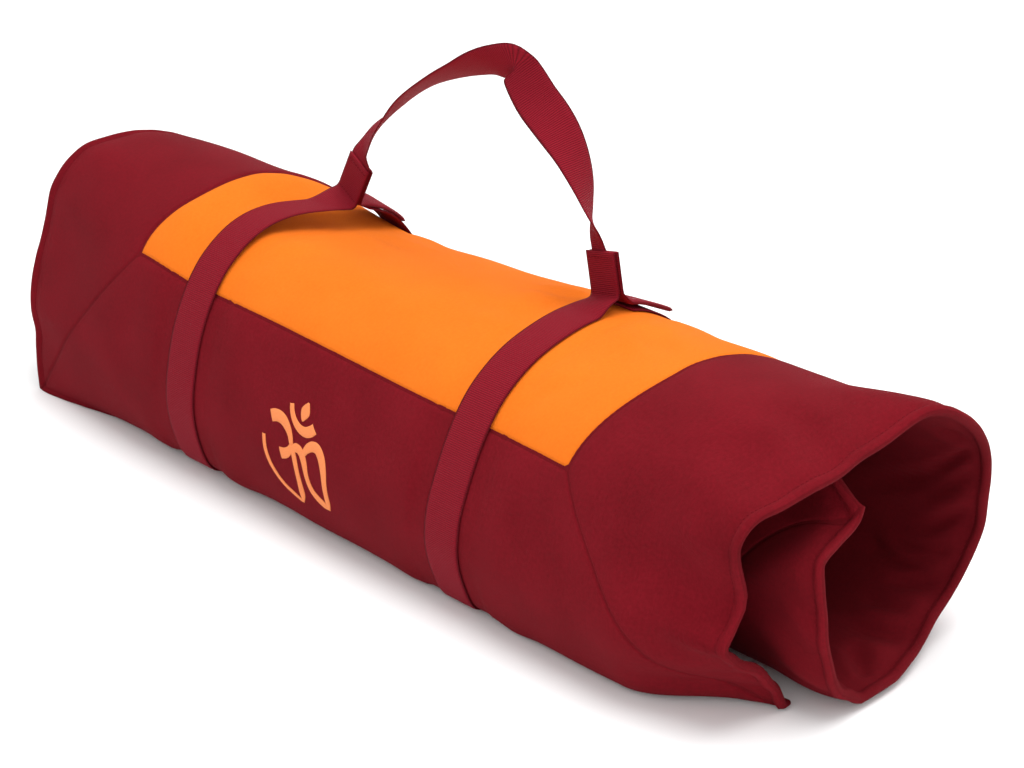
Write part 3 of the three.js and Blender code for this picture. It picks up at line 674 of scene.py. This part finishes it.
# The sign is the traditional Om, drawn from the way that it is written: brush strokes as
# points (right, up) with the stroke's half width there, all in parts of the sign's height
OM_STROKES = {
    "upper_bow": [(0.12, 0.725, 0.054), (0.20, 0.75, 0.056), (0.29, 0.745, 0.055), (0.37, 0.70, 0.046),
                  (0.425, 0.635, 0.034), (0.45, 0.56, 0.026)],
    "foot": [(0.455, 0.56, 0.022), (0.42, 0.50, 0.036), (0.36, 0.455, 0.046), (0.275, 0.43, 0.053)],
    "stem": [(0.455, 0.56, 0.024), (0.49, 0.47, 0.032), (0.52, 0.35, 0.030), (0.535, 0.23, 0.033),
             (0.53, 0.11, 0.036), (0.50, 0.0, 0.008)],
    "tail": [(0.015, 0.53, 0.021), (0.03, 0.40, 0.023), (0.085, 0.275, 0.024), (0.165, 0.18, 0.024),
             (0.265, 0.105, 0.024), (0.385, 0.055, 0.024), (0.50, 0.01, 0.018)],
    "inner_bow": [(0.465, 0.50, 0.020), (0.50, 0.54, 0.038), (0.555, 0.555, 0.045), (0.61, 0.53, 0.045),
                  (0.65, 0.46, 0.040), (0.67, 0.37, 0.031), (0.695, 0.28, 0.032), (0.735, 0.205, 0.038),
                  (0.80, 0.155, 0.044), (0.87, 0.125, 0.046), (0.935, 0.105, 0.030)],
    "outer_bow": [(0.63, 0.505, 0.018), (0.69, 0.585, 0.034), (0.77, 0.64, 0.045), (0.86, 0.65, 0.051),
                  (0.93, 0.59, 0.050), (0.962, 0.495, 0.042), (0.968, 0.39, 0.034), (0.965, 0.28, 0.032),
                  (0.96, 0.18, 0.032), (0.94, 0.085, 0.016)],
    "crescent": [(0.405, 0.92, 0.026), (0.43, 0.845, 0.030), (0.485, 0.78, 0.036), (0.565, 0.74, 0.042),
                 (0.655, 0.735, 0.046), (0.735, 0.765, 0.048), (0.79, 0.805, 0.046)],
    "drop": [(0.595, 0.815, 0.008), (0.605, 0.86, 0.040), (0.62, 0.905, 0.054), (0.635, 0.95, 0.038),
             (0.65, 0.995, 0.008)],
}
OM_PLACE = dict(x=-28.0, s=116.0, height=100.0, width=82.0)


def om_stroke(name, keys):
    """One stroke in satin stitch: a low rounded band with threads that run across it."""
    line = curve_through(np.array(keys, float), 16)
    line[:, 0] = OM_PLACE["x"] + (line[:, 0] - 0.5) * OM_PLACE["width"]
    line[:, 1] = OM_PLACE["s"] + (line[:, 1] - 0.5) * OM_PLACE["height"]
    line[:, 2] = np.maximum(line[:, 2], 0.008) * OM_PLACE["height"]
    line = resampled(line, 1.1)
    tangent = np.gradient(line[:, :2], axis=0)
    tangent /= np.linalg.norm(tangent, axis=1)[:, None]
    across = np.stack([-tangent[:, 1], tangent[:, 0]], -1)
    run = np.concatenate([[0], np.cumsum(np.linalg.norm(np.diff(line[:, :2], axis=0), axis=1))])
    columns = 10

    def place(i, j):
        side = i / columns * 2 - 1
        spot = line[j, :2] + across[j] * (side * line[j, 2])[:, None]
        ends = smooth(np.minimum(run[j], run[-1] - run[j]) / 1.5)
        lift = 0.12 + 0.95 * np.sqrt(np.clip(1 - side ** 2, 0, 1)) * (0.35 + 0.65 * ends)
        return on_front(spot[:, 0], spot[:, 1], lift)

    def flat(i, j):
        return np.stack([(i / columns * 2 - 1) * line[j, 2], run[j]], -1) * MM
    stroke = cloth_grid("om_" + name, columns, len(line) - 1, place, flat)
    in_edit(stroke, lambda: bpy.ops.mesh.normals_make_consistent(inside=False))
    apply_modifier(stroke, "SOLIDIFY", thickness=0.0004, offset=-1.0)
    return stroke


STITCH = 3.1
STITCH_GAP = 1.2


def stitch_line(name, x, s, lift, width=0.8):
    """A row of lockstitches along a line of the flat mat, as small rounded threads."""
    line = resampled(np.stack([np.asarray(x, float), np.asarray(s, float)], -1), STITCH + STITCH_GAP)
    return stitches(name, on_front(line[:, 0], line[:, 1], 0.0) / MM,
                    on_front(line[:, 0], line[:, 1], 1.0) / MM, lift, width)


def stitches(name, at, above, lift, width=0.8):
    """Threads from each point towards the next; above gives the way off the cloth."""
    rings, around = 5, 6
    first, last = at[:-1], at[1:]
    way = last - first
    long_way = way * (STITCH / (STITCH + STITCH_GAP))
    up = above[:-1] - at[:-1]
    up /= np.linalg.norm(up, axis=1)[:, None]
    side = np.cross(way, up)
    side /= np.linalg.norm(side, axis=1)[:, None]
    t = np.linspace(0, 1, rings)
    round_off = np.sqrt(np.clip(1 - (2 * t - 1) ** 4, 0.02, 1))
    turn = np.linspace(0, 2 * math.pi, around, endpoint=False)
    count = len(first)
    co = (first[:, None, None, :] + long_way[:, None, None, :] * t[None, :, None, None]
          + up[:, None, None, :] * (lift - 0.25 + 0.3 * round_off[None, :, None, None]
                                    + (np.sin(turn) * width / 2)[None, None, :, None] * round_off[None, :, None, None])
          + side[:, None, None, :] * (np.cos(turn) * width / 2)[None, None, :, None] * round_off[None, :, None, None])
    verts = (co * MM).reshape(-1, 3)
    faces = []
    for n in range(count):
        base = n * rings * around
        for r in range(rings - 1):
            for k in range(around):
                a, b = base + r * around + k, base + r * around + (k + 1) % around
                faces.append((a, b, b + around, a + around))
        faces.append(tuple(base + k for k in range(around - 1, -1, -1)))
        faces.append(tuple(base + (rings - 1) * around + k for k in range(around)))
    mesh = bpy.data.meshes.new(name)
    mesh.from_pydata(verts.tolist(), [], faces)
    mesh.update()
    piece = bpy.data.objects.new(name, mesh)
    bpy.context.collection.objects.link(piece)
    in_edit(piece, lambda: bpy.ops.mesh.normals_make_consistent(inside=False))
    return piece


def rim_stitching():
    """The row in the groove behind the piped rim, all round the top cloth."""
    d = 9.4
    x0, x1, s0, s1 = -HALF + d, HALF - d, d, MAT_LENGTH - d
    corners = np.array([(x0, s0), (x1, s0), (x1, s1), (x0, s1), (x0, s0)], float)
    line = resampled(corners, 20.0)
    return stitch_line("rim_stitching", line[:, 0], line[:, 1], 0.2)


def rim_stitching_inside():
    """The same row where the needle came out on the back cloth."""
    d = 9.4
    x0, x1, s0, s1 = -HALF + d, HALF - d, d, MAT_LENGTH - d
    corners = np.array([(x0, s0), (x1, s0), (x1, s1), (x0, s1), (x0, s0)], float)
    line = resampled(resampled(corners, 20.0), STITCH + STITCH_GAP)
    half = half_thickness(edge_of(line[:, 0], line[:, 1]))
    at = mat_point(line[:, 0], line[:, 1], -half) / MM
    above = mat_point(line[:, 0], line[:, 1], -half - 1.0) / MM
    return stitches("rim_stitching_inside", at, above, 0.2)


def seat_stitching(side):
    """Two rows across each turned-up end, which close it round the handle."""
    strap = STRAPS[side]
    fold = strap_fold(strap)
    rows = []
    for k, height in enumerate((5.0, strap["height"] - 5.0)):
        across = np.linspace(-16.5, 16.5, 9)
        at = np.stack([
            strap["x"] + strap["slide"] - CENTRE_X + strap["lean"] * height + across,
            KEEPER_Y - WEB + strap["turn"] * across,
            fold + height + strap["lift"] + strap["tilt"] * across], -1)
        above = at + np.array([strap["turn"], -1.0, 0.0])
        rows.append(stitches(f"seat_stitching_{side}_{k + 1}", at, above, 0.25))
    return rows


# Finishes
def group(name, inputs, outputs):
    tree = bpy.data.node_groups.new(name, "ShaderNodeTree")
    for label, kind, value in inputs:
        socket = tree.interface.new_socket(label, in_out="INPUT", socket_type=kind)
        if value is not None:
            socket.default_value = value
    for label, kind in outputs:
        tree.interface.new_socket(label, in_out="OUTPUT", socket_type=kind)
    return tree


class Wires:
    """Short words for adding and joining the nodes of one tree."""

    def __init__(self, tree):
        self.tree = tree

    def add(self, kind, **values):
        node = self.tree.nodes.new(kind)
        for key, value in values.items():
            if key.startswith("in_"):
                node.inputs[int(key[3:])].default_value = value
            else:
                setattr(node, key, value)
        return node

    def join(self, source, target):
        self.tree.links.new(source, target)

    def math(self, operation, a, b=None, c=None):
        node = self.add("ShaderNodeMath", operation=operation)
        for k, value in enumerate((a, b, c)):
            if value is None:
                continue
            if isinstance(value, (int, float)):
                node.inputs[k].default_value = value
            else:
                self.join(value, node.inputs[k])
        return node.outputs[0]

    def mix(self, factor, a, b):
        node = self.add("ShaderNodeMix", data_type="RGBA")
        for socket, value in ((node.inputs["Factor"], factor), (node.inputs[6], a), (node.inputs[7], b)):
            if isinstance(value, (int, float, tuple)):
                socket.default_value = value
            else:
                self.join(value, socket)
        return node.outputs[2]


def plain_weave_group():
    """Cotton woven over and under: thread height, and colour varied by slubs and handling."""
    tree = group("plain_weave", [
        ("Vector", "NodeSocketVector", None), ("Cloth", "NodeSocketColor", (0.2, 0.01, 0.02, 1)),
        ("Worn cloth", "NodeSocketColor", (0.3, 0.03, 0.04, 1)), ("Threads per metre", "NodeSocketFloat", 2200.0),
    ], [("Color", "NodeSocketColor"), ("Roughness", "NodeSocketFloat"), ("Height", "NodeSocketFloat")])
    w = Wires(tree)
    given = w.add("NodeGroupInput")
    out = w.add("NodeGroupOutput")
    turned = w.add("ShaderNodeVectorMath", operation="SCALE")
    w.join(given.outputs["Vector"], turned.inputs[0])
    w.join(given.outputs["Threads per metre"], turned.inputs["Scale"])
    split = w.add("ShaderNodeSeparateXYZ")
    w.join(turned.outputs[0], split.inputs[0])
    u = w.math("SINE", w.math("MULTIPLY", split.outputs[0], 3.14159))
    v = w.math("SINE", w.math("MULTIPLY", split.outputs[1], 3.14159))
    weave = w.math("MULTIPLY", u, v)
    slub = w.add("ShaderNodeTexNoise", noise_dimensions="3D")
    stretch = w.add("ShaderNodeMapping", vector_type="POINT")
    stretch.inputs["Scale"].default_value = (900, 60, 1)
    w.join(given.outputs["Vector"], stretch.inputs[0])
    w.join(stretch.outputs[0], slub.inputs["Vector"])
    slub.inputs["Scale"].default_value = 1.0
    slub.inputs["Detail"].default_value = 3.0
    broad = w.add("ShaderNodeTexNoise", noise_dimensions="3D")
    w.join(given.outputs["Vector"], broad.inputs["Vector"])
    broad.inputs["Scale"].default_value = 16.0
    broad.inputs["Detail"].default_value = 5.0
    fuzz = w.add("ShaderNodeTexNoise", noise_dimensions="3D")
    w.join(given.outputs["Vector"], fuzz.inputs["Vector"])
    fuzz.inputs["Scale"].default_value = 340.0
    fuzz.inputs["Detail"].default_value = 4.0
    worn = w.math("MULTIPLY_ADD", broad.outputs["Fac"], 1.2, -0.15)
    worn = w.math("ADD", worn, w.math("MULTIPLY_ADD", slub.outputs["Fac"], 0.5, -0.25))
    worn = w.math("ADD", worn, w.math("MULTIPLY", weave, 0.10))
    worn = w.math("ADD", worn, w.math("MULTIPLY_ADD", fuzz.outputs["Fac"], 1.3, -0.65))
    clamp = w.add("ShaderNodeClamp")
    w.join(worn, clamp.inputs[0])
    w.join(w.mix(clamp.outputs[0], given.outputs["Cloth"], given.outputs["Worn cloth"]), out.inputs["Color"])
    w.join(w.math("MULTIPLY_ADD", fuzz.outputs["Fac"], 0.16, 0.80), out.inputs["Roughness"])
    height = w.math("ADD", w.math("MULTIPLY", weave, 0.35),
                    w.math("ADD", w.math("MULTIPLY", slub.outputs["Fac"], 0.5), w.math("MULTIPLY", fuzz.outputs["Fac"], 0.8)))
    w.join(height, out.inputs["Height"])
    return tree


def rib_weave_group():
    """Heavy webbing: ribs that run across it, a finer warp, and selvedges at its edges, with painted shade in the
    grooves between the ribs.
    """
    tree = group("rib_weave", [
        ("Vector", "NodeSocketVector", None), ("Webbing", "NodeSocketColor", (0.2, 0.01, 0.02, 1)),
        ("Shade between ribs", "NodeSocketColor", (0.05, 0.003, 0.005, 1)), ("Ribs per metre", "NodeSocketFloat", 640.0),
        ("Width", "NodeSocketFloat", 0.039),
    ], [("Color", "NodeSocketColor"), ("Roughness", "NodeSocketFloat"), ("Height", "NodeSocketFloat")])
    w = Wires(tree)
    given = w.add("NodeGroupInput")
    out = w.add("NodeGroupOutput")
    split = w.add("ShaderNodeSeparateXYZ")
    w.join(given.outputs["Vector"], split.inputs[0])
    waver = w.add("ShaderNodeTexNoise", noise_dimensions="3D")
    w.join(given.outputs["Vector"], waver.inputs["Vector"])
    waver.inputs["Scale"].default_value = 90.0
    run = w.math("ADD", w.math("MULTIPLY", split.outputs[1], given.outputs["Ribs per metre"]),
                 w.math("MULTIPLY", waver.outputs["Fac"], 0.5))
    warp_at = w.math("MULTIPLY", split.outputs[0], 1500.0)
    rib = w.math("ABSOLUTE", w.math("SINE", w.math("MULTIPLY", run, 3.14159)))
    warp = w.math("ABSOLUTE", w.math("SINE", w.math("MULTIPLY", w.math("ADD", warp_at, w.math("MULTIPLY", w.math("FLOOR", run), 0.5)), 3.14159)))
    side = w.math("ABSOLUTE", w.math("SUBTRACT", w.math("DIVIDE", split.outputs[0], given.outputs["Width"]), 0.5))
    selvedge = w.add("ShaderNodeMapRange", interpolation_type="SMOOTHSTEP")
    w.join(side, selvedge.inputs["Value"])
    selvedge.inputs["From Min"].default_value = 0.44
    selvedge.inputs["From Max"].default_value = 0.475
    fibre = w.add("ShaderNodeTexNoise", noise_dimensions="3D")
    w.join(given.outputs["Vector"], fibre.inputs["Vector"])
    fibre.inputs["Scale"].default_value = 900.0
    fibre.inputs["Detail"].default_value = 3.0
    ribbed = w.math("MULTIPLY_ADD", selvedge.outputs[0], -0.5, 1.0)
    body = w.math("ADD", w.math("MULTIPLY", w.math("POWER", rib, 0.6), ribbed), w.math("MULTIPLY", warp, 0.25))
    shade = w.math("ADD", w.math("MULTIPLY", body, 0.62), w.math("MULTIPLY_ADD", fibre.outputs["Fac"], 0.7, -0.15))
    clamp = w.add("ShaderNodeClamp")
    w.join(shade, clamp.inputs[0])
    # Colour: painted shade in the grooves between the ribs, mixed with random fibre tone and the warp's pattern.
    w.join(w.mix(clamp.outputs[0], given.outputs["Shade between ribs"], given.outputs["Webbing"]), out.inputs["Color"])
    w.join(w.math("MULTIPLY_ADD", fibre.outputs["Fac"], 0.2, 0.58), out.inputs["Roughness"])
    w.join(w.math("ADD", body, w.math("MULTIPLY", fibre.outputs["Fac"], 0.3)), out.inputs["Height"])
    return tree


WEAVE = plain_weave_group()
RIBS = rib_weave_group()


def srgb(code):
    """A colour from its six hex digits, as linear light with alpha."""
    parts = [int(code[k:k + 2], 16) / 255 for k in (0, 2, 4)]
    return tuple(c / 12.92 if c < 0.04045 else ((c + 0.055) / 1.055) ** 2.4 for c in parts) + (1.0,)


def woven_material(name, tree, colours, numbers, bump, distance, sheen, sheen_tint):
    material = bpy.data.materials.new(name)
    material.use_nodes = True
    w = Wires(material.node_tree)
    shader = material.node_tree.nodes["Principled BSDF"]
    place = w.add("ShaderNodeUVMap", uv_map="UVMap")
    effect = w.add("ShaderNodeGroup", node_tree=tree)
    w.join(place.outputs[0], effect.inputs["Vector"])
    for label, value in {**colours, **numbers}.items():
        effect.inputs[label].default_value = value
    w.join(effect.outputs["Color"], shader.inputs["Base Color"])
    w.join(effect.outputs["Roughness"], shader.inputs["Roughness"])
    relief = w.add("ShaderNodeBump")
    relief.inputs["Strength"].default_value = bump
    relief.inputs["Distance"].default_value = distance
    w.join(effect.outputs["Height"], relief.inputs["Height"])
    w.join(relief.outputs[0], shader.inputs["Normal"])
    shader.inputs["Sheen Weight"].default_value = sheen
    shader.inputs["Sheen Roughness"].default_value = 0.5
    shader.inputs["Sheen Tint"].default_value = sheen_tint
    shader.inputs["Specular IOR Level"].default_value = 0.08
    return material


def wine_cotton(name, cloth, worn):
    return woven_material(name, WEAVE, {"Cloth": srgb(cloth), "Worn cloth": srgb(worn)}, {},
                          0.8, 0.0006, 0.03, srgb("ff5a60"))


WINE_TOP = wine_cotton("wine_cotton", "650a14", "7c121e")
# The back cloth is the top's wine cotton made darker: painted shade that deepens the inside of the roll.
WINE_BACK_PAINTED_SHADE = wine_cotton("wine_back_cotton_painted_shade", "5c0912", "70101a")
ORANGE = woven_material("orange_cotton", WEAVE, {"Cloth": srgb("e8701a"), "Worn cloth": srgb("f07a22")}, {},
                        0.8, 0.0006, 0.03, srgb("ff9040"))
# The webbing's second colour is painted shade in the grooves between its ribs.
WEBBING = woven_material("wine_webbing", RIBS, {"Webbing": srgb("8e1526"), "Shade between ribs": srgb("36050c")},
                         {"Ribs per metre": 560.0}, 1.0, 0.0007, 0.05, srgb("ff5a60"))
# The satin thread's second colour is painted shade between its threads.
OM_THREAD = woven_material("om_satin_thread", RIBS, {"Webbing": srgb("fb9a62"), "Shade between ribs": srgb("cc6a36")},
                           {"Ribs per metre": 1100.0, "Width": 0.4}, 0.8, 0.0003, 0.1, srgb("ffd0a0"))
WINE_THREAD = woven_material("wine_sewing_thread", WEAVE, {"Cloth": srgb("5e0c16"), "Worn cloth": srgb("74131e")},
                             {"Threads per metre": 3000.0}, 0.3, 0.0002, 0.05, srgb("ff5a60"))


# Putting the pieces together
# The padding and back cloth take the darker wine cotton, painted shade for the inside of the roll.
pad = finish_piece(padding(), WINE_BACK_PAINTED_SHADE, "mat_back", slot="wine_cloth")

for node in ("centre_panel",) + BORDERS:
    cloth = finish_piece(top_cloth(node), ORANGE if node == "centre_panel" else WINE_TOP, node,
                         slot="orange_cloth" if node == "centre_panel" else "wine_cloth")
    if node == "centre_panel":
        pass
    elif node in ("border_front", "border_inner"):
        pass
    else:
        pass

for side in STRAPS:
    for make, node in ((roll_strap, "roll_strap_"), (closure_tab, "closure_tab_")):
        strip = finish_piece(make(side), WEBBING, node + side, slot="webbing")
handle = finish_piece(carry_handle(), WEBBING, "carry_handle", slot="webbing")

for name, keys in OM_STROKES.items():
    finish_piece(om_stroke(name, keys), OM_THREAD, slot="orange_cloth")
for thread in (rim_stitching(), rim_stitching_inside(), *seat_stitching("left"), *seat_stitching("right")):
    finish_piece(thread, WINE_THREAD, slot="webbing")


# Studio: a pale floor, broad soft lights and the camera at the photograph's angle
def studio():
    deselect()
    bpy.context.scene.view_settings.view_transform = "Standard"
    bpy.ops.mesh.primitive_plane_add(size=14, location=(0, 0, 0))
    floor = bpy.context.active_object
    floor.name = "studio_floor"
    pale = bpy.data.materials.new("studio_floor_pale")
    pale.use_nodes = True
    shader = pale.node_tree.nodes["Principled BSDF"]
    shader.inputs["Base Color"].default_value = (0.92, 0.92, 0.92, 1)
    shader.inputs["Roughness"].default_value = 0.9
    floor.data.materials.append(pale)
    world = bpy.data.worlds.new("studio_white")
    bpy.context.scene.world = world
    world.use_nodes = True
    world.node_tree.nodes["Background"].inputs["Color"].default_value = (1, 1, 1, 1)
    world.node_tree.nodes["Background"].inputs["Strength"].default_value = 1.0

    def softbox(name, place, aim, size, watts):
        bpy.ops.object.light_add(type="AREA", location=place)
        lamp = bpy.context.active_object
        lamp.name = name
        lamp.data.shape = "DISK"
        lamp.data.size = size
        lamp.data.energy = watts
        lamp.rotation_euler = (Vector(aim) - Vector(place)).to_track_quat("-Z", "Y").to_euler()
    softbox("key_softbox", (0.35, 0.2, 2.6), (0, 0, 0.1), 2.2, 58)
    softbox("fill_softbox", (2.2, -1.8, 1.6), (0, 0, 0.1), 1.8, 8)

    place = Vector((1.37605, -1.37666, 1.1166))
    aim = Vector((0.02615, 0.04084, 0.1107))
    bpy.ops.object.camera_add(location=place)
    camera = bpy.context.active_object
    camera.name = "photo_camera"
    camera.rotation_euler = (aim - place).to_track_quat("-Z", "Y").to_euler()
    camera.data.sensor_width = 36.0
    camera.data.lens = 86.5
    bpy.context.scene.camera = camera


studio()
